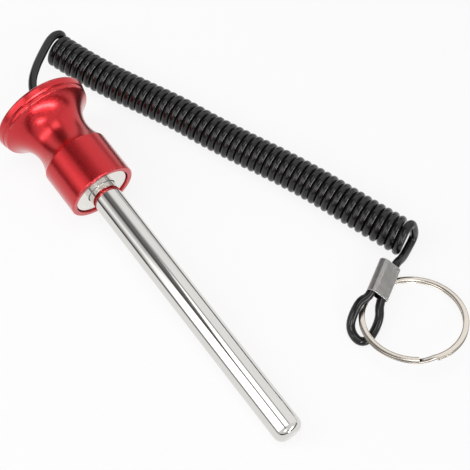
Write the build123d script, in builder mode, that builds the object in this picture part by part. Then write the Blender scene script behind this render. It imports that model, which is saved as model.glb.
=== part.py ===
from build123d import *
import math
import os

# Weight stack pin: a magnetic selector pin with a turned knob, on a coiled cord
# that ends in a crimped loop and a split ring. All sizes are in millimetres.
# It lies on a bench, which is the plane Z = 0, with the pin along +X. The origin
# is on the bench, below the middle of the knob and pin.

# Pin
pin_radius = 5.0
pin_reach = 102.4
tip_round = 3.0
root_radius = 4.5
stud_radius = 4.0
stud_length = 18.0
stud_chamfer = 0.6

# Knob, with distances along its axis measured from the back face
knob_length = 37.6
head_radius = 17.0
head_round = 0.8
rim_width = 4.3
rim_taper = 14.7
rim_round = 0.6
groove_at = 2.9
groove_width = 0.9
groove_depth = 0.38
lip_round = 0.25
neck_at = 14.6
neck_radius = 9.95
shoulder_at = 21.6
shoulder_round = 0.6
sleeve_radius = 11.9
mouth_round = 0.6
mouth_bevel = 0.2
back_wall = 4.0
cavity_radius = 3.6
cord_hole_radius = 1.8
cord_hole_bevel = 0.4
stud_end_gap = 0.4
stud_fit = 0.05

# Ring magnet in the knob's mouth
magnet_radius = 9.85
magnet_thickness = 5.0
magnet_recess = 0.6
magnet_bevel = 0.35
magnet_fit = 0.25
magnet_bore_fit = 0.2

# Cord, with the crimped stop inside the knob
cord_radius = 1.5
cord_fit = 0.08
coil_radius = 6.25
arc_share = 0.45
straight_behind_knob = 1.5
stop_radius = 3.0
stop_length = 4.5

# Ferrule that closes the loop, as it lies: its middle, then its turns in degrees
ferrule_width = 8.4
ferrule_thickness = 3.8
ferrule_length = 12.0
ferrule_corner = 1.5
ferrule_bore_offset = 2.0
ferrule_middle = (47.46, 56.02, 7.0)
ferrule_turn = -61.1
ferrule_dip = 6.5
ferrule_roll = -43.6
ferrule_run_in = 2.2
leg_run_out = 1.9
cord_end_inset = 0.6

# Split ring: a flat wire in two turns, with a slope from one level to the other
ring_radius = 17.7
wire_width = 2.0
wire_thickness = 0.85
wire_round = 0.3
split_gap = 0.05
slope_angle = 20.0
slope_start = -36.0
ring_middle_x = 63.39
ring_middle_y = 55.31
ring_lean = 15.2
ring_lean_towards = 148.5

# The knob's rim and the pin's tip both touch the bench, which sets the lean of the axis
total_length = knob_length + pin_reach
contact_span = total_length - tip_round - head_round
contact_drop = (head_radius - head_round) - (pin_radius - tip_round)
contact_slack = math.asin((head_round - tip_round) / math.hypot(contact_span, contact_drop))
lean = math.atan2(contact_drop, contact_span) + contact_slack
lean_cos = math.cos(lean)
lean_sin = math.sin(lean)
back_z = head_round + (head_radius - head_round) * lean_cos + head_round * lean_sin
rim_reach = head_round * lean_cos - (head_radius - head_round) * lean_sin - head_round
tip_reach = (total_length - tip_round) * lean_cos + (pin_radius - tip_round) * lean_sin + tip_round
back_x = -(rim_reach + tip_reach) / 2

# Turned pieces are drawn on this plane: X along the axis to the tip, Y away from it
lathe = Plane(origin=(back_x, 0, back_z), x_dir=(lean_cos, 0, -lean_sin), z_dir=(0, -1, 0))
turning = Axis(lathe.origin, lathe.x_dir)

counterbore_depth = magnet_thickness + magnet_recess
counterbore_radius = magnet_radius + magnet_fit
seat_at = knob_length - counterbore_depth


def across(distance):
    """The plane across the axis at a distance from the knob's back face, facing the tip."""
    return Plane(lathe.from_local_coords((distance, 0, 0)), x_dir=(0, 1, 0), z_dir=lathe.x_dir)


# The rim tapers forwards from a sharp back corner, whose rounding then stands head_radius out
rim_slope = math.tan(math.radians(rim_taper))
back_corner = head_radius - head_round + head_round * (rim_slope + math.hypot(1, rim_slope))


def rim_radius(distance):
    """The radius of the tapered rim at a distance from the back face."""
    return back_corner - rim_slope * distance


# Knob: a flared head with a grooved rim, a waisted neck and a straight sleeve
with BuildPart() as knob:
    with BuildSketch(lathe) as outline:
        with BuildLine():
            TangentArc((neck_at, neck_radius), (shoulder_at, sleeve_radius), tangent=(1, 0))
            TangentArc((neck_at, neck_radius), (rim_width, rim_radius(rim_width)), tangent=(-1, 0))
            groove_front = groove_at + groove_width / 2
            groove_back = groove_at - groove_width / 2
            Polyline(
                (rim_width, rim_radius(rim_width)),
                (groove_front, rim_radius(groove_front)),
                (groove_at, rim_radius(groove_at) - groove_depth),
                (groove_back, rim_radius(groove_back)),
                (0, back_corner),
                (0, 0),
                (knob_length, 0),
                (knob_length, sleeve_radius),
                (shoulder_at, sleeve_radius),
            )
        make_face()
        corners = outline.vertices()
        fillet(corners.sort_by_distance((0, back_corner))[0], head_round)
        corners = outline.vertices()
        fillet(corners.sort_by_distance((rim_width, rim_radius(rim_width)))[0], rim_round)
        corners = outline.vertices()
        fillet(corners.sort_by_distance((groove_front, rim_radius(groove_front)))[0], lip_round)
        corners = outline.vertices()
        fillet(corners.sort_by_distance((groove_back, rim_radius(groove_back)))[0], lip_round)
        corners = outline.vertices()
        fillet(corners.sort_by_distance((shoulder_at, sleeve_radius))[0], shoulder_round)
        corners = outline.vertices()
        fillet(corners.sort_by_distance((knob_length, sleeve_radius))[0], mouth_round)
    revolve(axis=turning)
    with BuildSketch(across(knob_length)):
        Circle(counterbore_radius)
    extrude(amount=-counterbore_depth, mode=Mode.SUBTRACT)
    mouth_edges = knob.edges().filter_by(GeomType.CIRCLE).group_by(turning)[-1]
    chamfer(mouth_edges.sort_by(SortBy.RADIUS)[0], mouth_bevel)
    with BuildSketch(across(seat_at)):
        Circle(stud_radius + stud_fit)
    extrude(amount=-(stud_length + stud_end_gap), mode=Mode.SUBTRACT)
    with BuildSketch(across(back_wall)):
        Circle(cavity_radius)
    extrude(amount=seat_at - stud_length - stud_end_gap - back_wall, mode=Mode.SUBTRACT)
    with BuildSketch(across(0)):
        Circle(cord_hole_radius)
    extrude(amount=back_wall, mode=Mode.SUBTRACT)
    back_edges = knob.edges().filter_by(GeomType.CIRCLE).group_by(turning)[0]
    chamfer(back_edges.sort_by(SortBy.RADIUS)[0], cord_hole_bevel)
knob.part.label = "knob"

# Pin: a shaft that starts at the knob's mouth, a slightly thinner root, and a stud set in the knob
with BuildPart() as pin:
    with BuildSketch(across(knob_length)):
        Circle(pin_radius)
    extrude(amount=pin_reach)
    fillet(pin.edges().filter_by(GeomType.CIRCLE).sort_by(turning)[-1], tip_round)
    with BuildSketch(across(seat_at)):
        Circle(root_radius)
    extrude(amount=counterbore_depth)
    with BuildSketch(across(seat_at)):
        Circle(stud_radius)
    extrude(amount=-stud_length)
    chamfer(pin.edges().filter_by(GeomType.CIRCLE).sort_by(turning)[0], stud_chamfer)
pin.part.label = "pin"

# Ring magnet, a little below the mouth's rim
with BuildPart() as ring_magnet:
    with BuildSketch(across(seat_at)):
        Circle(magnet_radius)
        Circle(pin_radius + magnet_bore_fit, mode=Mode.SUBTRACT)
    extrude(amount=magnet_thickness)
    front_edges = ring_magnet.edges().filter_by(GeomType.CIRCLE).group_by(turning)[-1]
    chamfer(front_edges, magnet_bevel)
ring_magnet.part.label = "ring_magnet"

# Crimped stop that keeps the cord in the knob, seated on the inside of the back wall
with BuildPart() as cord_stop:
    with BuildSketch(across(back_wall)):
        Circle(stop_radius)
        Circle(cord_radius + cord_fit, mode=Mode.SUBTRACT)
    extrude(amount=stop_length)
cord_stop.part.label = "cord_stop"

# Ferrule: a flattened sleeve with a bore for each leg of the loop
ferrule_heading = Vector(1, 0, 0).rotate(Axis.Y, ferrule_dip).rotate(Axis.Z, ferrule_turn)
ferrule_side = Vector(0, 1, 0).rotate(Axis.Z, ferrule_turn)
ferrule_side = ferrule_side.rotate(Axis((0, 0, 0), ferrule_heading), ferrule_roll)
ferrule_plane = Plane(ferrule_middle, x_dir=ferrule_side, z_dir=ferrule_heading)

with BuildPart() as ferrule:
    with BuildSketch(ferrule_plane):
        RectangleRounded(ferrule_width, ferrule_thickness, ferrule_corner)
        with Locations((-ferrule_bore_offset, 0), (ferrule_bore_offset, 0)):
            Circle(cord_radius + cord_fit, mode=Mode.SUBTRACT)
    extrude(amount=ferrule_length / 2, both=True)
ferrule.part.label = "ferrule"

# Split ring, leaning on the loop with its far side on the bench
ring_mid_radius = ring_radius - wire_width / 2
level_rise = wire_thickness + split_gap
ring_height = level_rise + wire_thickness
lean_angle = math.radians(ring_lean)
ring_middle_z = ring_radius * math.sin(lean_angle) + ring_height / 2 * math.cos(lean_angle)
ring_normal = Vector(0, 0, 1).rotate(Axis.Y, ring_lean).rotate(Axis.Z, ring_lean_towards)
ring_middle = Vector(ring_middle_x, ring_middle_y, ring_middle_z)
ring_plane = Plane(ring_middle, x_dir=ring_normal.cross(Vector(0, 1, 0)).normalized() * -1, z_dir=ring_normal)
ring_axis = Axis(ring_middle, ring_normal)


def ring_turned(angle):
    """The ring's own plane, turned about the ring's axis."""
    return Plane(ring_plane.location * Rotation(0, 0, angle))


def wire_plane(angle, level):
    """The plane across the wire at an angle round the ring and a level along its axis."""
    turned = ring_turned(angle)
    return Plane(turned.from_local_coords((ring_mid_radius, 0, level)), x_dir=turned.x_dir, z_dir=turned.y_dir)


slope = Helix(level_rise * 360 / slope_angle, level_rise, ring_mid_radius)
slope = ring_turned(slope_start).offset(-level_rise / 2).from_local_coords(slope)

with BuildPart() as split_ring:
    for level in (-level_rise / 2, level_rise / 2):
        with BuildSketch(wire_plane(slope_start + slope_angle, level)):
            RectangleRounded(wire_width, wire_thickness, wire_round)
        revolve(axis=ring_axis, revolution_arc=360 - slope_angle)
    with BuildSketch(wire_plane(slope_start, -level_rise / 2)) as wire_end:
        RectangleRounded(wire_width, wire_thickness, wire_round)
    sweep(sections=wire_end.sketch, path=slope, is_frenet=True)
split_ring.part.label = "split_ring"

# Cord, in the order that it runs: out of the knob, the coil, down to the ferrule, and the loop
behind_stop = across(back_wall + stop_length).origin
behind_knob = across(-straight_behind_knob).origin
lead_points = [
    behind_stop,
    behind_knob,
    (-80.6, 3.4, 16.5),
    (-87.6, 8.8, 15.0),
    (-93.6, 15.7, 13.2),
    (-97.6, 22.3, 12.2),
    (-99.2, 26.6, 10.6),
    (-98.0, 27.1, 6.25),
]
coil_points = [
    (-97.21, 22.07, coil_radius),
    (-75.75, 28.36, coil_radius),
    (-42.60, 42.47, coil_radius),
    (-2.57, 58.20, coil_radius),
    (40.23, 71.66, coil_radius),
]
ferrule_in = ferrule_plane.from_local_coords((ferrule_bore_offset, 0, -ferrule_length / 2))
ferrule_above = ferrule_plane.from_local_coords((ferrule_bore_offset, 0, -ferrule_length / 2 - ferrule_run_in))
leg_out = ferrule_plane.from_local_coords((ferrule_bore_offset, 0, ferrule_length / 2 + leg_run_out))
leg_back = ferrule_plane.from_local_coords((-ferrule_bore_offset, 0, ferrule_length / 2 + leg_run_out))
cord_end = ferrule_plane.from_local_coords((-ferrule_bore_offset, 0, cord_end_inset - ferrule_length / 2))
tail_points = [
    (38.90, 71.80, 11.0),
    (38.20, 75.40, 11.3),
    (38.90, 77.60, 7.0),
    (39.60, 76.80, 2.1),
    (41.20, 72.20, 1.7),
    (43.30, 67.20, 3.4),
    ferrule_above,
    ferrule_in,
]
loop_points = [
    ferrule_in,
    leg_out,
    (55.0, 47.9, 3.2),
    (58.0, 44.2, 1.8),
    (59.7, 40.0, 1.7),
    (58.2, 37.2, 1.8),
    (54.1, 36.9, 2.6),
    (50.1, 40.2, 5.4),
    (48.6, 44.8, 7.7),
    leg_back,
    cord_end,
]


def tube(name, points, radius):
    """A tube along straight runs joined by arcs as large as the runs allow."""
    points = [Vector(point) for point in points]
    runs = [end - start for start, end in zip(points, points[1:])]
    arcs = []
    for before, after in zip(runs, runs[1:]):
        half_turn = math.radians(before.get_angle(after)) / 2
        arcs.append(arc_share * min(before.length, after.length) / math.tan(half_turn))
    with BuildPart() as cord:
        with BuildLine() as path:
            FilletPolyline(*points, radius=arcs)
        with BuildSketch(Plane(path.line @ 0, z_dir=path.line % 0)):
            Circle(radius)
        sweep(path=path.line)
    cord.part.label = name
    length = path.wires()[0].length
    share = cord.part.volume / (math.pi * radius**2 * length)
    print(name, "length", round(length, 2), "volume over section by length", round(share, 4))
    print("  runs", [round(run.length, 1) for run in runs], "arc radii", [round(arc, 1) for arc in arcs])
    return cord.part


cord_lead = tube("cord_lead", lead_points, cord_radius)
cord_coil = tube("cord_coil", coil_points, coil_radius)
cord_tail = tube("cord_tail", tail_points, cord_radius)
cord_loop = tube("cord_loop", loop_points, cord_radius)

print("lean of the axis", round(math.degrees(lean), 3), "back face at", round(back_x, 3), round(back_z, 3))
print("ring middle", ring_middle, "normal", ring_normal)

os.makedirs("parts", exist_ok=True)
export_step(knob.part, "parts/knob.step")
export_step(pin.part, "parts/pin.step")
export_step(ring_magnet.part, "parts/ring_magnet.step")
export_step(cord_stop.part, "parts/cord_stop.step")
export_step(ferrule.part, "parts/ferrule.step")
export_step(split_ring.part, "parts/split_ring.step")
export_step(cord_lead, "parts/cord_lead.step")
export_step(cord_coil, "parts/cord_coil.step")
export_step(cord_tail, "parts/cord_tail.step")
export_step(cord_loop, "parts/cord_loop.step")
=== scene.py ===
# %% [markdown]
# # A weight stack pin
# A selector pin for a weight machine: a chromed pin in a turned red knob with a ring magnet in its
# mouth, and a curly black cord that ends in a crimped loop with a key ring on it. The imported model
# is loaded first. It is the fixed frame that every finished piece is laid over.

# %% Load the frame
import math
import bmesh
import bpy
from mathutils import Matrix, Vector


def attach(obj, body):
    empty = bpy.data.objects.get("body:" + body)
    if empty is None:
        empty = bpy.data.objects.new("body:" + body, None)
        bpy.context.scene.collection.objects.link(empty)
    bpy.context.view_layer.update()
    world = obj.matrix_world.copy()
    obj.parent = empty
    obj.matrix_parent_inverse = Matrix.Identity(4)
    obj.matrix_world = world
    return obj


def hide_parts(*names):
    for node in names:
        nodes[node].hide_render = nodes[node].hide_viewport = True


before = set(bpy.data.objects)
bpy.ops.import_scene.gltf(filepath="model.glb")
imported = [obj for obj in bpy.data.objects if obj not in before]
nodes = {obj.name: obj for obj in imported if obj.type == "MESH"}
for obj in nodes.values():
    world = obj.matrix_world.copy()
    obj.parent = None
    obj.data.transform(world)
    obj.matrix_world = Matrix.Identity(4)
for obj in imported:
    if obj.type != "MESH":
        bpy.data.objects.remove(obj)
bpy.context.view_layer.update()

scene = bpy.context.scene
MM = 0.001


def placed(name, data):
    """A new object in the scene."""
    made = bpy.data.objects.new(name, data)
    scene.collection.objects.link(made)
    return made


print("nodes", sorted(nodes))

# %% [markdown]
# ## The camera
# The picture looks down on the bench from 62 degrees, from the front right. A long lens keeps the
# pin's sides nearly parallel, as they are in the picture. A focal length in millimetres could be
# guessed, but here it comes from the picture's own scale, 1200 pixels on 470 pixels of width, so
# that the frame matches whatever the render size is. The camera was fitted to places read as
# whole pixels, and a shift of about a third of a pixel makes up for that.

# %% Camera
CAMERA_AT = Vector((154.29, -85.77, 359.42)) * MM
CAMERA_TARGET = Vector((2.07, 29.70, 0.0)) * MM
FOCAL_PIXELS, FRAME_PIXELS, SHIFT_PIXELS = 1200, 470, 0.3
SENSOR_WIDTH = 36
NEAREST, FARTHEST = 0.01, 10

camera = placed("camera", bpy.data.cameras.new("camera"))
camera.data.sensor_width = SENSOR_WIDTH
camera.data.lens = SENSOR_WIDTH * FOCAL_PIXELS / FRAME_PIXELS
camera.data.clip_start, camera.data.clip_end = NEAREST, FARTHEST
camera.location = CAMERA_AT
camera.rotation_mode = "QUATERNION"
camera.rotation_quaternion = (CAMERA_TARGET - CAMERA_AT).to_track_quat("-Z", "Y")
camera.data.shift_x = -SHIFT_PIXELS / FRAME_PIXELS
camera.data.shift_y = SHIFT_PIXELS / FRAME_PIXELS
scene.camera = camera
scene.view_settings.view_transform = "Standard"
print("lens", round(camera.data.lens, 1), "mm, view", round(math.degrees(camera.data.angle), 2), "degrees")

# %% [markdown]
# ## The turned pieces
# The knob, the pin and the magnet are all turned about one axis, so each is one outline spun round
# it, as on a lathe. A Screw modifier could do that too, but a few lines of bmesh can also keep a
# value on every corner. An outline is a list of corners: the distance along the axis from the
# knob's back face, the distance out from it, and the corner's rounding, all in millimetres. Each
# rounding becomes an arc between two guard points, so that the flats beside it shade flat and
# only the edge catches the light. A value called wear is kept on the rounded corners, for the
# finish to read.

# %% Lathe
LATHE_AT = Vector((-69.112, 0.0, 17.008))
ALONG = Vector((0.996146, 0.0, -0.087712))
ACROSS = Vector((0.0, 1.0, 0.0))
OVER = ALONG.cross(ACROSS)
ROUND_SEGMENTS = 144
ARC_STEPS = 6
GUARD = 0.05
ON_AXIS = 1e-6


def rounded(corners):
    """Outline points (along, out, wear) from corners (along, out, rounding)."""
    points = []
    for place, (along, out, rounding) in enumerate(corners):
        here = Vector((along, out))
        if not rounding:
            points.append((along, out, 0.0))
            continue
        before = (Vector(corners[place - 1][:2]) - here).normalized()
        after = (Vector(corners[(place + 1) % len(corners)][:2]) - here).normalized()
        half = before.angle(after) / 2
        reach = rounding / math.tan(half)
        centre = here + (before + after).normalized() * rounding / math.sin(half)
        start, end = here + before * reach - centre, here + after * reach - centre
        points.append((*(centre + start + before * GUARD), 0.0))
        for step in range(ARC_STEPS + 1):
            turn = start.normalized().slerp(end.normalized(), step / ARC_STEPS)
            points.append((*(centre + turn.normalized() * rounding), 1.0))
        points.append((*(centre + end + after * GUARD), 0.0))
    return points


def spun(name, outline, segments, place_of, closed):
    """A mesh from an outline carried round: place_of gives the place of (along, out) at a step."""
    shape = bmesh.new()
    wear_layer = shape.verts.layers.float.new("wear")
    rings = []
    for along, out, wear in outline:
        if out < ON_AXIS:
            ring = [shape.verts.new(place_of(along, out, 0))] * segments
        else:
            ring = [shape.verts.new(place_of(along, out, step)) for step in range(segments)]
        for vert in ring:
            vert[wear_layer] = wear
        rings.append(ring)
    for ring, following in zip(rings, rings[1:] + rings[:1] if closed else rings[1:]):
        for step in range(segments):
            ahead = (step + 1) % segments
            corners = dict.fromkeys((ring[step], ring[ahead], following[ahead], following[step]))
            shape.faces.new(list(corners)).smooth = True
    bmesh.ops.recalc_face_normals(shape, faces=shape.faces)
    mesh = bpy.data.meshes.new(name)
    shape.to_mesh(mesh)
    shape.free()
    print(name, len(mesh.polygons), "faces")
    return placed(name, mesh)


def turned(name, outline, closed=True):
    """An outline spun about the knob's and pin's axis."""
    def place_of(along, out, step):
        angle = math.tau * step / ROUND_SEGMENTS
        outwards = ACROSS * math.cos(angle) + OVER * math.sin(angle)
        return (LATHE_AT + ALONG * along + outwards * out) * MM
    return spun(name, outline, ROUND_SEGMENTS, place_of, closed)


def level_arc(start, end, steps):
    """Inner points of an arc from one outline point, where it runs level, to another."""
    run, rise = end[0] - start[0], end[1] - start[1]
    radius = (run ** 2 + rise ** 2) / (2 * rise)
    reach = math.asin(abs(run) / radius)
    points = []
    for step in range(1, steps):
        turn = reach * step / steps
        along = start[0] + math.copysign(radius * math.sin(turn), run)
        points.append((along, start[1] + radius * (1 - math.cos(turn)), 0))
    return points


print("axis runs down by", round(math.degrees(math.asin(-ALONG.z)), 2), "degrees")

# %% [markdown]
# ## The knob
# A bar of aluminium, turned and dyed red. From the back: a rim that tapers a little forwards with
# one V groove in it, a flare that runs down in a plain arc to the neck, a second arc up to the
# shoulder, and a straight sleeve that is bored out for the magnet. A lid over a hollow would look
# the same from outside, but the bores for the pin's stud and the cord are real here, so the knob
# is a closed loop of outline.

# %% Knob
KNOB_LENGTH, SEAT_AT = 37.6, 32.0
BACK_CORNER, RIM_SLOPE, RIM_WIDTH = 17.237, 0.2623, 4.3
GROOVE_BACK, GROOVE_AT, GROOVE_FRONT, GROOVE_DEPTH = 2.45, 2.9, 3.35, 0.38
NECK, SHOULDER = (14.6, 9.95), (21.6, 11.9)
FLARE_STEPS, SHOULDER_STEPS = 28, 14
CORD_HOLE, CORD_HOLE_LIP = 1.8, 0.4
CAVITY, CAVITY_BACK, CAVITY_FRONT = 3.6, 4.0, 13.6
STUD_BORE, MOUTH_BORE = 4.05, 10.1


def rim_out(along):
    """How far out the tapered rim stands."""
    return BACK_CORNER - RIM_SLOPE * along


rim_front = (RIM_WIDTH, rim_out(RIM_WIDTH))
knob = turned("knob_turned", rounded([
    (0.0, CORD_HOLE + CORD_HOLE_LIP, 0.1),
    (0.0, BACK_CORNER, 0.8),
    (GROOVE_BACK, rim_out(GROOVE_BACK), 0.22),
    (GROOVE_AT, rim_out(GROOVE_AT) - GROOVE_DEPTH, 0.08),
    (GROOVE_FRONT, rim_out(GROOVE_FRONT), 0.22),
    (*rim_front, 0.6),
    *reversed(level_arc(NECK, rim_front, FLARE_STEPS)),
    (*NECK, 0),
    *level_arc(NECK, SHOULDER, SHOULDER_STEPS),
    (*SHOULDER, 0.5),
    (KNOB_LENGTH, SHOULDER[1], 0.5),
    (KNOB_LENGTH, MOUTH_BORE, 0.2),
    (SEAT_AT, MOUTH_BORE, 0),
    (SEAT_AT, STUD_BORE, 0),
    (CAVITY_FRONT, STUD_BORE, 0),
    (CAVITY_FRONT, CAVITY, 0),
    (CAVITY_BACK, CAVITY, 0),
    (CAVITY_BACK, CORD_HOLE, 0),
    (CORD_HOLE_LIP, CORD_HOLE, 0.1),
]))

# %% [markdown]
# ## The pin and the magnet
# The pin is a plain ground rod with a well rounded tip, held by a thinner stud in the knob. The
# magnet is a nickel plated ring that sits a little below the mouth, with a thin gap all round. A
# stretched cylinder would do for the rod, but its tip and its stud come from the same outline. A
# few more rings of points along the shaft keep its faces from being too slender.

# %% Pin and magnet
PIN_RADIUS, PIN_END, TIP_ROUND = 5.0, 140.0, 3.0
STUD_RADIUS, STUD_BACK = 4.0, 14.0
MAGNET_INNER, MAGNET_OUTER, MAGNET_FACE = 5.2, 9.85, 37.0
ROOT_RADIUS, ROOT_END = 4.5, MAGNET_FACE - 0.3
SHAFT_RINGS = (60.0, 85.0, 110.0)

pin = turned("pin_turned", rounded([
    (STUD_BACK, 0.0, 0),
    (STUD_BACK, STUD_RADIUS, 0.6),
    (SEAT_AT, STUD_RADIUS, 0),
    (SEAT_AT, ROOT_RADIUS, 0),
    (ROOT_END, ROOT_RADIUS, 0),
    (ROOT_END, PIN_RADIUS, 0.04),
    *((along, PIN_RADIUS, 0) for along in SHAFT_RINGS),
    (PIN_END, PIN_RADIUS, TIP_ROUND),
    (PIN_END, 0.0, 0),
]), closed=False)
magnet = turned("magnet_turned", rounded([
    (SEAT_AT, MAGNET_INNER, 0),
    (SEAT_AT, MAGNET_OUTER, 0.3),
    (MAGNET_FACE, MAGNET_OUTER, 0.35),
    (MAGNET_FACE, MAGNET_INNER, 0.2),
]))

# %% [markdown]
# ## The ferrule
# A short piece of flattened aluminium tube, pressed on to the two legs of the loop. It could be a
# bevelled box with holes, but a tube's wall is what shows at its open end, so the wall's outline
# is carried round a rounded rectangle: the corners of the rectangle are where the tube bends, and
# its long sides are flat. It lies rolled to one side, with its left leg high.

# %% Ferrule
FERRULE_MIDDLE = Vector((47.46, 56.02, 7.0))
FERRULE_SIDE = Vector((0.596258, 0.418325, -0.685187))
FERRULE_FACE = Vector((0.643356, 0.261512, 0.719517))
FERRULE_HEADING = Vector((0.480176, -0.869837, -0.113203))
FERRULE_WIDTH, FERRULE_THICKNESS, FERRULE_LENGTH = 8.4, 3.8, 12.0
FERRULE_CORNER, FERRULE_WALL = 1.6, 0.36
CORNER_STEPS = 9
SIDE_GUARD = 0.3

corner_side = FERRULE_WIDTH / 2 - FERRULE_CORNER
corner_face = FERRULE_THICKNESS / 2 - FERRULE_CORNER
flat_side = corner_side - SIDE_GUARD
stations = []
for quarter, (side, face) in enumerate(((1, 1), (-1, 1), (-1, -1), (1, -1))):
    for step in range(CORNER_STEPS + 1):
        angle = math.radians(90 * (quarter + step / CORNER_STEPS))
        stations.append((side * corner_side, face * corner_face, angle))
    # The last angle holds along each long side, between two guards
    if quarter in (0, 2):
        stations.append((side * flat_side, face * corner_face, angle))
        stations.append((-side * flat_side, face * corner_face, angle))


def ferrule_place(along, out, step):
    """Where a point of the wall's outline stands at a step round the tube."""
    side, face, angle = stations[step]
    side += out * math.cos(angle)
    face += out * math.sin(angle)
    return (FERRULE_MIDDLE + FERRULE_HEADING * along + FERRULE_SIDE * side + FERRULE_FACE * face) * MM


ferrule = spun("ferrule_pressed", rounded([
    (-FERRULE_LENGTH / 2, FERRULE_CORNER, 0.22),
    (FERRULE_LENGTH / 2, FERRULE_CORNER, 0.22),
    (FERRULE_LENGTH / 2, FERRULE_CORNER - FERRULE_WALL, 0.1),
    (-FERRULE_LENGTH / 2, FERRULE_CORNER - FERRULE_WALL, 0.1),
]), len(stations), ferrule_place, True)

# %% [markdown]
# ## The key ring
# Flat spring wire, rolled two turns and hardened. One turn lies on the other, and a short slope
# takes the wire from the lower level to the upper one where its two ends meet. A torus would miss
# both turns. The shape follows a rule, so it is made with geometry nodes: a line is bent round by
# its own length, its height comes from the place of the slope, and a rounded strip is drawn along
# it. All its sizes are inputs of the group. Three values stay on the wire for the finish: turn is
# -1 on the lower turn and 1 on the upper one, side runs from one flat of the strip to the other,
# and out from its one edge to the other.

# %% Key ring rule
RING_SIZES = {
    "Middle radius": 16.7, "Wire width": 2.0, "Wire thickness": 0.82, "Roundness": 1.12,
    "Split gap": 0.11, "Slope start": -36.0, "Slope angle": 20.0,
}
WIRE_POINTS, STRIP_POINTS = 560, 28

ring_rule = bpy.data.node_groups.new("key ring", "GeometryNodeTree")


def socket_of(name, kind, in_out="INPUT"):
    """A named socket of the ring's rule."""
    return ring_rule.interface.new_socket(name, in_out=in_out, socket_type="NodeSocket" + kind)


for name, value in RING_SIZES.items():
    socket_of(name, "Float").default_value = value
socket_of("Finish", "Material")
socket_of("Ring", "Geometry", "OUTPUT")
size = ring_rule.nodes.new("NodeGroupInput").outputs


def rule(kind, settings=None, sockets=None, output=0):
    """A node of the ring's rule: settings first, then the values or links of its sockets."""
    made = ring_rule.nodes.new(kind)
    for key, value in (settings or {}).items():
        setattr(made, key, value)
    for key, value in (sockets or {}).items():
        if isinstance(value, bpy.types.NodeSocket):
            ring_rule.links.new(value, made.inputs[key])
        else:
            made.inputs[key].default_value = value
    return made.outputs[output]


def maths(operation, *values):
    """A Math node of the ring's rule."""
    return rule("ShaderNodeMath", {"operation": operation}, dict(enumerate(values)))


def part_of(place, axis):
    """One coordinate of a place."""
    return rule("ShaderNodeSeparateXYZ", {}, {"Vector": place}, axis)


def keep_value(line, name, value):
    """The line with a value kept on its points."""
    return rule("GeometryNodeStoreNamedAttribute", {"data_type": "FLOAT", "domain": "POINT"}, {
        "Geometry": line, "Name": name, "Value": value,
    })


# %% [markdown]
# The wire's path: a straight line of many points, whose own length says how far round each point
# goes and which level it lies on.

# %% Key ring path
lower_turn = maths("SUBTRACT", 360.0, size["Slope angle"])
whole_wind = maths("SUBTRACT", 720.0, size["Slope angle"])
level_rise = maths("ADD", size["Wire thickness"], size["Split gap"])
half_rise = maths("MULTIPLY", level_rise, 0.5)
wound = maths("MULTIPLY", rule("GeometryNodeSplineParameter", output="Factor"), whole_wind)
wind_start = maths("ADD", size["Slope start"], size["Slope angle"])
angle = maths("RADIANS", maths("ADD", wind_start, wound))
level = rule("ShaderNodeMapRange", {"interpolation_type": "SMOOTHSTEP"}, {
    "Value": wound, "From Min": lower_turn, "From Max": 360.0,
    "To Min": maths("MULTIPLY", half_rise, -1.0), "To Max": half_rise,
})
bent = rule("ShaderNodeCombineXYZ", {}, {
    "X": maths("MULTIPLY", size["Middle radius"], maths("COSINE", angle)),
    "Y": maths("MULTIPLY", size["Middle radius"], maths("SINE", angle)),
    "Z": level,
})
wire_path = rule("GeometryNodeCurvePrimitiveLine", {}, {"Start": (0, 0, 0), "End": (1, 0, 0)})
wire_path = rule("GeometryNodeResampleCurve", {}, {"Curve": wire_path, "Count": WIRE_POINTS})
wire_path = rule("GeometryNodeSetPosition", {}, {"Geometry": wire_path, "Position": bent})
wire_path = keep_value(wire_path, "turn", maths("DIVIDE", level, half_rise))
wire_path = rule("GeometryNodeSetCurveNormal", {"mode": "Z_UP"}, {"Curve": wire_path})
print("key ring path", len(ring_rule.nodes), "nodes")

# %% [markdown]
# The wire's section: a circle drawn out to the wire's width and thickness. Its coordinates are
# raised to a power first, which would square it below 1 and, a little above 1, makes the edges
# slightly sharper than an ellipse's. It is carried along the path, and its open ends get caps.

# %% Key ring strip
strip = rule("GeometryNodeCurvePrimitiveCircle", {}, {"Resolution": STRIP_POINTS, "Radius": 1.0})
strip_place = rule("GeometryNodeInputPosition")


def drawn_out(axis, width):
    """One coordinate of the section: the circle's own, drawn out to a width."""
    part = part_of(strip_place, axis)
    power = maths("POWER", maths("ABSOLUTE", part), size["Roundness"])
    return maths("MULTIPLY", maths("MULTIPLY", maths("SIGN", part), power), maths("MULTIPLY", width, 0.5))


for name, axis in (("side", "Y"), ("out", "X")):
    strip = keep_value(strip, name, part_of(strip_place, axis))
section = rule("ShaderNodeCombineXYZ", {}, {
    "X": drawn_out("X", size["Wire width"]), "Y": drawn_out("Y", size["Wire thickness"]),
})
strip = rule("GeometryNodeSetPosition", {}, {"Geometry": strip, "Position": section})
wire = rule("GeometryNodeCurveToMesh", {}, {
    "Curve": wire_path, "Profile Curve": strip, "Fill Caps": True,
})
wire = rule("GeometryNodeRealizeInstances", {}, {"Geometry": wire})
wire = rule("GeometryNodeSetMaterial", {}, {"Geometry": wire, "Material": size["Finish"]})
ring_rule.links.new(wire, ring_rule.nodes.new("NodeGroupOutput").inputs["Ring"])
print("key ring rule", len(ring_rule.nodes), "nodes")

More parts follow.
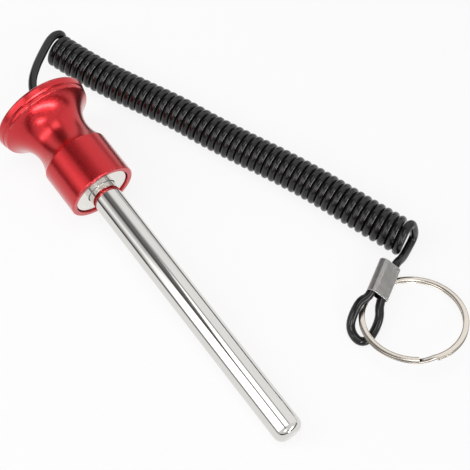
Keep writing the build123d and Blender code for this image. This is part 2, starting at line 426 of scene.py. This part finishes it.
# %% [markdown]
# ## The curly cord
# The cord is one piece of moulded plastic line, wound tight on a rod and set by heat. It leaves
# the back of the knob, bends round into 52 and three quarter turns, comes off the last turn down
# to the bench, and runs up through the ferrule, round the loop and back. A curve suits it: one
# smooth spline with every turn as points of its own, where a screwed tube would need joints at
# both ends. The coil's middle line is a second, bare spline, and the turns are worked out round
# the points read from it, so the coil bends as its middle line does. That line rises by a quarter
# of a millimetre towards the ring, where the turns are widest and lie on the bench.

# %% Route of the cord
CORD_RADIUS = 1.5 * MM
CORD_STEPS, MIDDLE_STEPS, SECTION_STEPS = 4, 16, 5
LEAD_POINTS = [
    (-60.645, 0.0, 16.262), (-70.606, 0.0, 17.139), (-80.55, 3.60, 16.5), (-86.95, 9.1, 15.0),
    (-92.75, 15.9, 13.2), (-97.15, 22.2, 12.2), (-97.4, 26.20, 10.6),
]
COIL_POINTS = [
    (-97.21, 21.75, 6.25), (-85.73, 24.95, 6.25), (-72.48, 29.62, 6.25), (-59.44, 35.27, 6.25),
    (-46.54, 41.02, 6.25), (-33.59, 45.51, 6.25), (-20.53, 50.69, 6.25), (-7.43, 56.26, 6.25),
    (5.82, 61.14, 6.3), (19.1, 65.16, 6.4), (30.52, 68.6, 6.5), (41.6, 72.45, 6.5),
]
TAIL_POINTS = [
    (38.20, 75.40, 11.3), (39.35, 76.30, 7.0), (39.70, 76.75, 2.1), (41.70, 72.40, 1.8),
    (44.15, 67.35, 4.0), (45.00, 64.00, 6.4), (45.771, 62.076, 6.309),
]
LOOP_POINTS = [
    (52.446, 49.985, 4.735), (55.6, 48.1, 3.2), (58.0, 44.1, 1.8), (59.4, 39.8, 1.7),
    (57.7, 37.2, 1.8), (53.5, 37.4, 2.5), (51.1, 39.3, 5.4), (48.4, 45.3, 7.7),
    (49.88, 48.19, 7.68), (43.50, 59.75, 9.19),
]


def nurbs_line(name, points, steps, bevel=0.0, thickness=None):
    """An open smooth spline through metres, with these points as its control points."""
    data = bpy.data.curves.new(name, "CURVE")
    data.dimensions = "3D"
    data.resolution_u = steps
    data.bevel_depth = bevel
    data.bevel_resolution = SECTION_STEPS
    data.use_fill_caps = True
    spline = data.splines.new("NURBS")
    spline.points.add(len(points) - 1)
    for place, point, share in zip(spline.points, points, thickness or [1.0] * len(points)):
        place.co = (*point, 1)
        place.radius = share
    spline.order_u = 3
    spline.use_endpoint_u = True
    line = placed(name, data)
    bpy.context.view_layer.update()
    return line


def as_mesh(thing):
    """The evaluated shape as a plain mesh object, in place of the one it came from."""
    name = thing.name
    evaluated = thing.evaluated_get(bpy.context.evaluated_depsgraph_get())
    mesh = bpy.data.meshes.new_from_object(evaluated)
    bpy.data.objects.remove(thing)
    return placed(name, mesh)


def line_points(name, points, steps):
    """The points of a smooth spline with no bevel, in order."""
    line = as_mesh(nurbs_line(name, points, steps))
    found = [v.co.copy() for v in line.data.vertices]
    bpy.data.objects.remove(line)
    return found


def in_metres(points):
    """Places in millimetres as vectors in metres."""
    return [Vector(p) * MM for p in points]


coil_middle = line_points("coil_middle", in_metres(COIL_POINTS), MIDDLE_STEPS)
reached = [0.0]
for before, after in zip(coil_middle, coil_middle[1:]):
    reached.append(reached[-1] + (after - before).length)
coil_length = reached[-1]
print("middle line of the coil", round(coil_length / MM, 2), "mm, read at", len(coil_middle), "points")

# %% [markdown]
# ## Turns of the coil
# The turns lie against one another, a little closer near the knob, and lean a little at both ends.
# An array of rings would have gaps in the line, so the turns are points of the cord itself, twelve
# to a turn. Three lists of marks shape them, each read between the marks on both sides of a turn.
# The first gives the distance along the coil's middle line, the second how far the two sides of a
# turn lean along the coil, one ahead and one back, and the third the turn's radius. Turns are
# counted from the first top. Wound line is drawn a little thinner, because the turns lie closer
# than the line is thick, and it gets back to full thickness over the last nine turns.

# %% Turns of the coil
UP = Vector((0, 0, 1))
FIRST_TURN, LAST_TURN = 0.25, 53.0
TURN_MARKS = [
    (0.25, 1.4), (0.917, 3.4), (1.917, 5.9), (3.917, 11.25), (8.917, 25.5), (14, 39.1),
    (18.917, 52.45), (24.917, 69.15), (43.6, 119.25), (48, 131.3), (52.917, 145.25), (53.0, 145.5),
]
LEAN_MARKS = [(0, 0.6), (4, 0.3), (10, 0.1), (32, 0.1), (40, 0.35), (49, 0.65), (53, 1.1)]
RADIUS_MARKS = [(0, 4.74), (20, 4.78), (32, 4.84), (42, 4.92), (53, 4.98)]
POINTS_PER_TURN = 12
WOUND_SHARE, THICKER_FROM = 0.92, 44
TINY = 1e-9
# A spline of order 3 cuts inside its points, so they stand a little further out than the turns do
points_stand_out = 1 / (0.75 + 0.25 * math.cos(math.tau / POINTS_PER_TURN))


def coil_place(distance):
    """The middle line's point and heading at a distance along it."""
    distance = min(max(distance, 0.0), coil_length)
    step = next(i for i in range(1, len(reached)) if reached[i] >= distance - TINY)
    share = (distance - reached[step - 1]) / (reached[step] - reached[step - 1])
    heading = coil_middle[step] - coil_middle[step - 1]
    return coil_middle[step - 1].lerp(coil_middle[step], share), heading.normalized()


def mark_of(turn, marks):
    """A value in metres, read between the marks before and after a turn."""
    for (low_turn, low), (high_turn, high) in zip(marks, marks[1:]):
        if turn <= high_turn + TINY:
            return (low + (high - low) * (turn - low_turn) / (high_turn - low_turn)) * MM
    return marks[-1][1] * MM


turns, turn_shares = [], []
for step in range(round(FIRST_TURN * POINTS_PER_TURN), round(LAST_TURN * POINTS_PER_TURN) + 1):
    turn = step / POINTS_PER_TURN
    middle, heading = coil_place(mark_of(turn, TURN_MARKS))
    far_side = UP.cross(heading).normalized()
    angle = math.tau * (turn + 0.25)
    lean = mark_of(turn, LEAN_MARKS) * math.cos(angle) * heading
    point_radius = mark_of(turn, RADIUS_MARKS) * points_stand_out
    turns.append(middle + lean + point_radius * (-math.cos(angle) * far_side + math.sin(angle) * UP))
    to_full = max(0.0, (turn - THICKER_FROM) / (LAST_TURN - THICKER_FROM))
    turn_shares.append(WOUND_SHARE + (1 - WOUND_SHARE) * to_full)

after_coil = in_metres(TAIL_POINTS + LOOP_POINTS)
cord_points = in_metres(LEAD_POINTS) + turns + after_coil
cord_shares = [1.0] * len(LEAD_POINTS) + turn_shares + [1.0] * len(after_coil)
cord_path = line_points("cord_path", cord_points, CORD_STEPS)
cord_length = sum((b - a).length for a, b in zip(cord_path, cord_path[1:]))
cord = as_mesh(nurbs_line("curly_cord", cord_points, CORD_STEPS, CORD_RADIUS, cord_shares))
print("cord", round(cord_length / MM), "mm long,", len(turns), "points in its turns,",
      len(cord.data.polygons), "faces")

# %% [markdown]
# ## Nodes for the finishes
# Every finish is a handful of shader nodes. They could be added one by one by hand, but writing
# them as sums keeps them short, so one small class stands for a socket: arithmetic on it adds
# Math nodes, and its node method adds any other kind.

# %% Shader sums
class Shade:
    """A socket in a node tree, or the bare tree. Sums on it add Math nodes."""

    def __init__(self, tree, socket=None):
        self.tree = tree
        self.socket = socket

    def node(self, kind, settings=None, sockets=None, output=0):
        """Adds a node: its settings first, then the values or links of its sockets."""
        made = self.tree.nodes.new(kind)
        for key, value in (settings or {}).items():
            if key == "stops":
                ramp = made.color_ramp.elements
                while len(ramp) < len(value):
                    ramp.new(1)
                for stop, (place, level) in zip(ramp, value):
                    stop.position = place
                    stop.color = (level, level, level, 1)
            else:
                setattr(made, key, value)
        for key, value in (sockets or {}).items():
            if isinstance(value, Shade):
                self.tree.links.new(value.socket, made.inputs[key])
            else:
                made.inputs[key].default_value = value
        return Shade(self.tree, made.outputs[output] if len(made.outputs) else None)

    def sum(self, operation, *values):
        """Adds a Math node."""
        return self.node("ShaderNodeMath", {"operation": operation}, dict(enumerate(values)))

    def __add__(self, other):
        return self.sum("ADD", self, other)

    def __sub__(self, other):
        return self.sum("SUBTRACT", self, other)

    def __rsub__(self, other):
        return self.sum("SUBTRACT", other, self)

    def __mul__(self, other):
        return self.sum("MULTIPLY", self, other)

    def __truediv__(self, other):
        return self.sum("DIVIDE", self, other)

    __radd__ = __add__
    __rmul__ = __mul__


# %% [markdown]
# The finishes share a few helpers: a place on a piece in millimetres, along the bench's axes or
# the piece's own, then noise read there, a value kept on the mesh, and what turns these into
# colours, ranges and bumps. Object coordinates are used throughout, because a pattern on them
# stays with its piece when the piece moves.

# %% Finish helpers
def new_material(name):
    """An empty material and its bare tree."""
    made = bpy.data.materials.new(name)
    made.use_nodes = True
    made.node_tree.nodes.clear()
    return made, Shade(made.node_tree)


def finish_with(tree, sockets):
    """Ends a material in one Principled shader."""
    shader = tree.node("ShaderNodeBsdfPrincipled", {}, sockets)
    tree.node("ShaderNodeOutputMaterial", {}, {"Surface": shader})


def in_millimetres(tree):
    """Object coordinates in millimetres."""
    place = tree.node("ShaderNodeTexCoord", output="Object")
    return tree.node("ShaderNodeVectorMath", {"operation": "MULTIPLY"}, {0: place, 1: [1 / MM] * 3})


def along(place, axis):
    """How far a place or a direction goes along an axis."""
    ends = {0: place, 1: tuple(axis)}
    return place.node("ShaderNodeVectorMath", {"operation": "DOT_PRODUCT"}, ends, "Value")


def on_axes(tree, origin, axes, stretch=(1, 1, 1)):
    """Object coordinates in millimetres along three axes of a piece, each with its own stretch."""
    place = in_millimetres(tree)
    place = tree.node("ShaderNodeVectorMath", {"operation": "SUBTRACT"}, {0: place, 1: tuple(origin)})
    parts = [along(place, axis * share) for axis, share in zip(axes, stretch)]
    return tree.node("ShaderNodeCombineXYZ", {}, dict(zip("XYZ", parts)))


def noise(place, scale, detail):
    """Noise from 0 to 1 at a place."""
    return place.node("ShaderNodeTexNoise", {}, {"Vector": place, "Scale": scale, "Detail": detail}, "Fac")


def kept(tree, name):
    """A value that was kept on the mesh."""
    return tree.node("ShaderNodeAttribute", {"attribute_name": name}, output="Fac")


def between(share, low, high):
    """A colour between two by a share, each a plain colour or another node's."""
    low, high = (end if isinstance(end, Shade) else (*end, 1) for end in (low, high))
    return share.node("ShaderNodeMix", {"data_type": "RGBA"}, {0: share, 6: low, 7: high}, 2)


def spread(value, low, high, to_low=0.0, to_high=1.0):
    """A value's range spread over another, and held at its ends."""
    ends = {"Value": value, "From Min": low, "From Max": high, "To Min": to_low, "To Max": to_high}
    return value.node("ShaderNodeMapRange", {"clamp": True}, ends)


def size_of(value):
    """A value without its sign."""
    return value.sum("ABSOLUTE", value)


def bumps(height, depth, strength):
    """A normal from heights, with their depth in millimetres."""
    sockets = {"Height": height, "Distance": depth * MM, "Strength": strength}
    return height.node("ShaderNodeBump", {}, sockets)


def paint(piece, material):
    """One finish all over a piece."""
    piece.data.materials.clear()
    piece.data.materials.append(material)
    for face in piece.data.polygons:
        face.material_index = 0
    print(piece.name, "in", material.name, "of", len(material.node_tree.nodes), "nodes")


# %% [markdown]
# ## The studio
# The picture has a white ground and light from large soft boxes: one overhead, one at the front
# on the left and one on the right. The gaps between them show as thin dark lines along the chrome.
# White boards in the scene could give these reflections, but they would cast light and shadow
# too, so the reflections are drawn in the world.
#
# A direction is read in two ways. Its angle over the pin is 0 straight up, -90 at the front and
# 90 at the back, and each ramp gives the light at these angles. How far it goes along the pin says
# which ramp counts: FAR_LEFT for what the pin's root mirrors, OVER_AND_FRONT for most of the
# pin, and NEAR_RIGHT for the tip and the knob's flare. Their edges slant a little with the angle,
# as the boxes do.

# %% Light over and along the pin
BRIGHTEST = 4.0
OVER_AND_FRONT = [
    (-90, 0.25), (-83, 0.3), (-77, 0.9), (-72, 3.6), (-26, 3.4), (-22, 0.3), (-16, 0.25), (-13, 1.4),
    (-10, 2.4), (12, 2.4), (15, 1.2), (17, 0.4), (22, 0.45), (25, 0.9), (31, 1.03), (90, 1.0),
]
FAR_LEFT = [
    (-90, 0.1), (-84, 0.1), (-78, 0.3), (-68, 0.6), (-60, 1.0), (-52, 1.25), (-44, 0.95),
    (-36, 0.65), (-26, 0.5), (-22, 0.10), (-12, 0.11), (-8, 0.16), (10, 0.22), (16, 0.5), (24, 0.9),
    (32, 1.0), (90, 1.0),
]
NEAR_RIGHT = [
    (-90, 0.3), (-82, 0.5), (-70, 0.85), (-26, 0.8), (-21, 0.3), (-16, 0.35), (-10, 0.8), (90, 0.95),
]
FRONT_BOX_EDGE = (-0.33, -0.21)
OVER_BOX_EDGE, OVER_BOX_SLANT = (-0.275, -0.250), 0.0032
FRONT_TO_OVER = (-25, -22)
RIGHT_EDGE, RIGHT_SLANT = (0.04, 0.10), -0.0022

world = bpy.data.worlds.new("studio")
scene.world = world
world.use_nodes = True
world.node_tree.nodes.clear()
sky = Shade(world.node_tree)
direction = sky.node("ShaderNodeTexCoord", output="Generated")
heading_x, heading_y, heading_z = (
    sky.node("ShaderNodeSeparateXYZ", {}, {"Vector": direction}, output=axis) for axis in "XYZ"
)
angle_over = sky.sum("ARCTAN2", heading_y, heading_z) * (180 / math.pi)
along_pin = along(direction, ALONG)


def dome(levels):
    """The light of the studio by the angle over the pin, as a colour ramp."""
    stops = [(angle / 180 + 0.5, level / BRIGHTEST) for angle, level in levels]
    return sky.node("ShaderNodeValToRGB", {"stops": stops}, {"Fac": angle_over / 180 + 0.5})


in_front_box = spread(along_pin, *FRONT_BOX_EDGE)
in_over_box = spread(along_pin + angle_over * OVER_BOX_SLANT, *OVER_BOX_EDGE)
in_boxes = in_front_box + (in_over_box - in_front_box) * spread(angle_over, *FRONT_TO_OVER)
studio_light = between(in_boxes, dome(FAR_LEFT), dome(OVER_AND_FRONT))
to_right = spread(along_pin + angle_over * RIGHT_SLANT, *RIGHT_EDGE)
studio_light = between(to_right, studio_light, dome(NEAR_RIGHT))
print("studio sky", len(world.node_tree.nodes), "nodes")

# %% [markdown]
# Two things are laid over that. The room is dark near the floor on the left and on the right,
# which gives the chrome and the red their dark ends. And the box on the right shows as two narrow
# bright strips, side by side, which the knob's flare mirrors as soft highlights. Each edge of
# these is a share that fades over a short range, given as the two ends of the range. Matte
# surfaces take a plain grey from the sky in place of all this, and the camera sees white.

# %% Dark sides and the strips on the right
LOW_SKY, TO_THE_SIDES, SIDES_DARKEN = (0.30, 0.14), (0.25, 0.45), 0.9
STRIPS_AT = Vector((0.784, -0.048, 0.617)).normalized()
STRIPS_LONG = Vector((0.322, -0.820, -0.472)).normalized()
STRIPS_SHORT = STRIPS_AT.cross(STRIPS_LONG)
STRIPS_LENGTH, STRIPS_WIDTH, STRIPS_APART = (0.42, 0.36), (0.06, 0.03), 0.36
STRIPS_FACE, STRIPS_FROM = (0.0, 0.1), (0.45, 0.55)
STRIPS_LEVEL = 17.0
BLACK, WHITE = (0, 0, 0), (1, 1, 1)
DIFFUSE_SKY = (0.3, 0.3, 0.3)

in_length = spread(size_of(along(direction, STRIPS_LONG)), *STRIPS_LENGTH)
from_strip = size_of(size_of(along(direction, STRIPS_SHORT)) - STRIPS_APART)
faces_strips = spread(along(direction, STRIPS_AT), *STRIPS_FACE)
in_strips = in_length * spread(from_strip, *STRIPS_WIDTH) * faces_strips
in_strips = in_strips * spread(along_pin, *STRIPS_FROM)
low_sides = spread(heading_z, *LOW_SKY) * spread(size_of(heading_x), *TO_THE_SIDES)
studio_light = between(low_sides * SIDES_DARKEN, studio_light, BLACK)
studio_light = sky.node("ShaderNodeVectorMath", {"operation": "SCALE"}, {
    0: studio_light, "Scale": BRIGHTEST,
})
studio_light = between(in_strips, studio_light, (STRIPS_LEVEL,) * 3)
lit = between(sky.node("ShaderNodeLightPath", output="Is Glossy Ray"), DIFFUSE_SKY, studio_light)
shown = between(sky.node("ShaderNodeLightPath", output="Is Camera Ray"), lit, WHITE)
background = sky.node("ShaderNodeBackground", {}, {"Color": shown, "Strength": 1.0})
sky.node("ShaderNodeOutputWorld", {}, {"Surface": background})
print("whole sky", len(world.node_tree.nodes), "nodes")

# %% [markdown]
# The floor is a plain white ground. To the camera and in mirrors most of it glows white, and the
# rest is a matte surface, which keeps the shadows of the pieces. Brighter lamps would whiten it
# too, but they would wash out the red and the chrome.

# %% Floor
FLOOR_SIZE = 3.0
FLOOR_COLOUR = (0.85, 0.85, 0.85, 1)
FLOOR_GLOW_SHARE = 0.86

half = FLOOR_SIZE / 2
corners = [(-half, -half, 0), (half, -half, 0), (half, half, 0), (-half, half, 0)]
floor_mesh = bpy.data.meshes.new("floor")
floor_mesh.from_pydata(corners, [], [(0, 1, 2, 3)])
floor = placed("floor", floor_mesh)
floor_material, tree = new_material("pale floor")
seen = tree.node("ShaderNodeLightPath", output="Is Camera Ray")
mirrored = tree.node("ShaderNodeLightPath", output="Is Glossy Ray")
matte = tree.node("ShaderNodeBsdfDiffuse", {}, {"Color": FLOOR_COLOUR})
glow = tree.node("ShaderNodeEmission", {}, {"Color": (*WHITE, 1), "Strength": 1.0})
glow_share = tree.sum("MAXIMUM", seen, mirrored) * FLOOR_GLOW_SHARE
both = tree.node("ShaderNodeMixShader", {}, {0: glow_share, 1: matte, 2: glow})
tree.node("ShaderNodeOutputMaterial", {}, {"Surface": both})
paint(floor, floor_material)

# %% [markdown]
# The lamps give the light itself: three soft boxes as large and as far off as those in the
# picture look. Each gives the same brightness from every part of it, so its power goes with its
# area. They are hidden from mirrors, where the world shows them instead.

# %% Soft boxes
LAMP_LEVEL = 3.0


def soft_box(name, place, size, long_axis, back_to):
    """A rectangular area lamp with its back to a direction and its first side along an axis."""
    lamp = bpy.data.lights.new(name, "AREA")
    lamp.shape = "RECTANGLE"
    lamp.size, lamp.size_y = size
    lamp.energy = math.pi * size[0] * size[1] * LAMP_LEVEL
    made = placed(name, lamp)
    made.visible_glossy = False
    back = Vector(back_to).normalized()
    side = Vector(long_axis)
    side = (side - back * side.dot(back)).normalized()
    turned_to = Matrix((side, back.cross(side), back)).transposed().to_4x4()
    made.matrix_world = Matrix.Translation(place) @ turned_to
    print(name, "at", [round(v, 2) for v in place], "with", round(lamp.energy, 2), "W")


FRONT_AT, RIGHT_AT = (-0.21, -0.4044, 0.3906), (0.47, -0.09, 0.36)
soft_box("overhead_box", (-0.01, 0.0225, 0.6), (0.32, 0.345), (1, 0, 0), UP)
soft_box("front_box", FRONT_AT, (0.37, 0.53), (0.6438, -0.3343, 0), FRONT_AT)
soft_box("right_box", RIGHT_AT, (0.36, 0.26), (0.108, -0.516, -0.253), RIGHT_AT)

# %% [markdown]
# ## Finishes of the turned pieces
# The dye gives the aluminium a clear red that hardly varies, over turning marks too fine to count,
# and it wears paler on the sharp edges of the rim and the mouth. A red metal under a soft clear
# coat gives both the deep colour and the pale sheen over it. The pin is hard chrome, ground and
# then polished, so that what is left runs along it in faint streaks. The magnet's nickel is bright
# and slightly warm, with handling marks.

# %% Turned finishes
TURNED_AXES = (ALONG, ACROSS, OVER)

red_anodised, tree = new_material("red anodised")
place = on_axes(tree, LATHE_AT, TURNED_AXES)
cloud = noise(place, scale=0.09, detail=3)
marks = noise(on_axes(tree, LATHE_AT, TURNED_AXES, stretch=(1, 0.02, 0.02)), scale=9.0, detail=3)
rubbed = kept(tree, "wear") * spread(noise(place, scale=0.8, detail=4), 0.45, 0.7, to_high=0.5)
dye = between(cloud, (0.54, 0.006, 0.012), (0.62, 0.010, 0.017))
finish_with(tree, {
    "Base Color": between(rubbed, dye, (0.72, 0.16, 0.17)),
    "Metallic": 1.0,
    "Roughness": spread(marks + cloud * 0.5, 0.5, 1.1, 0.26, 0.34),
    "Coat Weight": 0.8, "Coat IOR": 1.5, "Coat Roughness": 0.22,
    "Normal": bumps(marks, depth=0.004, strength=0.5),
})

chrome, tree = new_material("hard chrome")
streaks = noise(on_axes(tree, LATHE_AT, TURNED_AXES, stretch=(0.03, 1, 1)), scale=5.0, detail=4)
smears = noise(on_axes(tree, LATHE_AT, TURNED_AXES, stretch=(0.4, 1, 1)), scale=0.35, detail=3)
finish_with(tree, {
    "Base Color": between(smears, (0.68, 0.665, 0.64), (0.74, 0.725, 0.70)),
    "Metallic": 1.0,
    "Roughness": spread(streaks + smears, 0.8, 1.2, 0.035, 0.075),
    "Normal": bumps(streaks, depth=0.002, strength=0.4),
})

magnet_nickel, tree = new_material("magnet nickel")
smears = noise(in_millimetres(tree), scale=0.5, detail=4)
finish_with(tree, {
    "Base Color": between(smears, (0.80, 0.78, 0.74), (0.86, 0.84, 0.80)),
    "Metallic": 1.0,
    "Roughness": spread(smears, 0.35, 0.65, 0.14, 0.22),
    "Normal": bumps(noise(in_millimetres(tree), scale=3.0, detail=3), depth=0.002, strength=0.3),
})

paint(knob, red_anodised)
paint(pin, chrome)
paint(magnet, magnet_nickel)

# %% [markdown]
# ## Finishes of the cord and the ferrule
# The cord's plastic is black and glossy, with a faint haze where the turns rub. The ferrule is
# drawn aluminium: its grain runs along it, with small pressing marks, and its edges are bright
# where they were cut. The cord stop, inside the knob, is made of the same.

# %% Cord and ferrule finishes
black_line, tree = new_material("black cord")
haze = noise(in_millimetres(tree), scale=0.25, detail=4)
grain = noise(in_millimetres(tree), scale=6.0, detail=3)
finish_with(tree, {
    "Base Color": between(haze, (0.005, 0.005, 0.005), (0.010, 0.009, 0.009)),
    "IOR": 1.46,
    "Roughness": spread(haze, 0.3, 0.7, 0.04, 0.07),
    "Normal": bumps(grain, depth=0.004, strength=0.35),
})

satin, tree = new_material("drawn aluminium")
ferrule_axes = (FERRULE_HEADING, FERRULE_SIDE, FERRULE_FACE)
drawn = noise(on_axes(tree, FERRULE_MIDDLE, ferrule_axes, stretch=(0.1, 1, 1)), scale=7.0, detail=4)
pressed = noise(in_millimetres(tree), scale=0.6, detail=3)
grey = between(pressed, (0.33, 0.32, 0.31), (0.42, 0.41, 0.395))
finish_with(tree, {
    "Base Color": between(kept(tree, "wear") * 0.6, grey, (0.75, 0.74, 0.72)),
    "Metallic": 1.0,
    "Roughness": spread(drawn + pressed * 0.5, 0.5, 1.0, 0.33, 0.45),
    "Normal": bumps(drawn * 0.5 + pressed, depth=0.02, strength=0.5),
})

paint(cord, black_line)
paint(ferrule, satin)
paint(nodes["cord_stop"], satin)

# %% [markdown]
# ## Finish of the key ring
# Warm bright nickel with hair scratches round it. A painted shade darkens the thin gap between the
# two turns, and a painted dark reflection darkens the wire's outer edge. Two more materials could
# be given to those faces, but the values kept on the wire fade from one to the other: the gap is
# where side and turn agree, and the outer edge is where out is near 1.

# %% Key ring finish
RING_MIDDLE = Vector((63.39, 55.31, 5.4851))
RING_ACROSS = Vector((0.974201, 0.0, 0.225681))
RING_UP_SLOPE = Vector((0.030917, 0.990572, -0.133459))
RING_NORMAL = Vector((-0.223553, 0.136993, 0.965016))
# The near-black colour of the painted shade in the ring's gap and of the painted dark reflection on its
# outer edge
PAINTED_SHADE_COLOUR = (0.02, 0.016, 0.012)

bright_nickel, tree = new_material("key ring nickel")
ring_axes = (RING_NORMAL, RING_ACROSS, RING_UP_SLOPE)
scratches = noise(on_axes(tree, RING_MIDDLE, ring_axes, stretch=(12, 1, 1)), scale=0.8, detail=4)
# Painted shade: the thin gap between the two turns is darkened in the colour
painted_gap_shade = spread(kept(tree, "side") * kept(tree, "turn"), 0.55, 0.9)
# Painted dark reflection: the wire's outer edge is darkened in the colour
painted_edge_reflection = spread(kept(tree, "out"), 0.72, 0.92) * 0.62
plating = between(scratches, (0.74, 0.67, 0.59), (0.84, 0.78, 0.70))
finish_with(tree, {
    "Base Color": between(tree.sum("MAXIMUM", painted_gap_shade, painted_edge_reflection), plating, PAINTED_SHADE_COLOUR),
    "Metallic": 1.0,
    "Roughness": spread(scratches, 0.35, 0.65, 0.12, 0.20),
    "Normal": bumps(scratches, depth=0.004, strength=0.4),
})

# %% [markdown]
# ## The key ring's mesh
# The ring's rule runs once on a carrier object, with its sizes set by the sockets' own names
# before anything reads them. What it makes is kept as a plain mesh and carried to where the ring
# lies, leaning on the loop.

# %% Key ring mesh
ring_line = placed("key_ring", bpy.data.meshes.new("key_ring"))
winding = ring_line.modifiers.new("winding", "NODES")
winding.node_group = ring_rule
for socket in ring_rule.interface.items_tree:
    if socket.in_out == "INPUT":
        winding[socket.identifier] = bright_nickel if socket.name == "Finish" else RING_SIZES[socket.name]
bpy.context.view_layer.update()
ring = as_mesh(ring_line)
lie = Matrix((RING_ACROSS, RING_UP_SLOPE, RING_NORMAL)).transposed().to_4x4()
ring.data.transform(Matrix.Translation(RING_MIDDLE * MM) @ lie @ Matrix.Scale(MM, 4))
for face in ring.data.polygons:
    face.use_smooth = len(face.vertices) == 4
paint(ring, bright_nickel)
heights = [(corner.co / MM - RING_MIDDLE).dot(RING_NORMAL) for corner in ring.data.vertices]
print("key ring", len(ring.data.polygons), "faces,", round(max(heights) - min(heights), 2), "mm high")

# %% [markdown]
# ## Joining the pieces to the frame
# Each finished piece rides on the body it belongs to and stands in for the plain shape of the
# same thing.

# %% Frame calls
for piece, body, slot, stands_for in (
    (knob, "pin_and_cord", "knob", ["knob"]),
    (pin, "pin_and_cord", "pin", ["pin"]),
    (magnet, "pin_and_cord", "magnet", ["ring_magnet"]),
    (ferrule, "pin_and_cord", "ferrule", ["ferrule"]),
    (ring, "ring", "ring", ["split_ring"]),
    (cord, "pin_and_cord", "cord", ["cord_lead", "cord_coil", "cord_tail", "cord_loop"]),
):
    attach(piece, body)
    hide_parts(*stands_for)
    print(piece.name, "rides on", body, "for", stands_for)
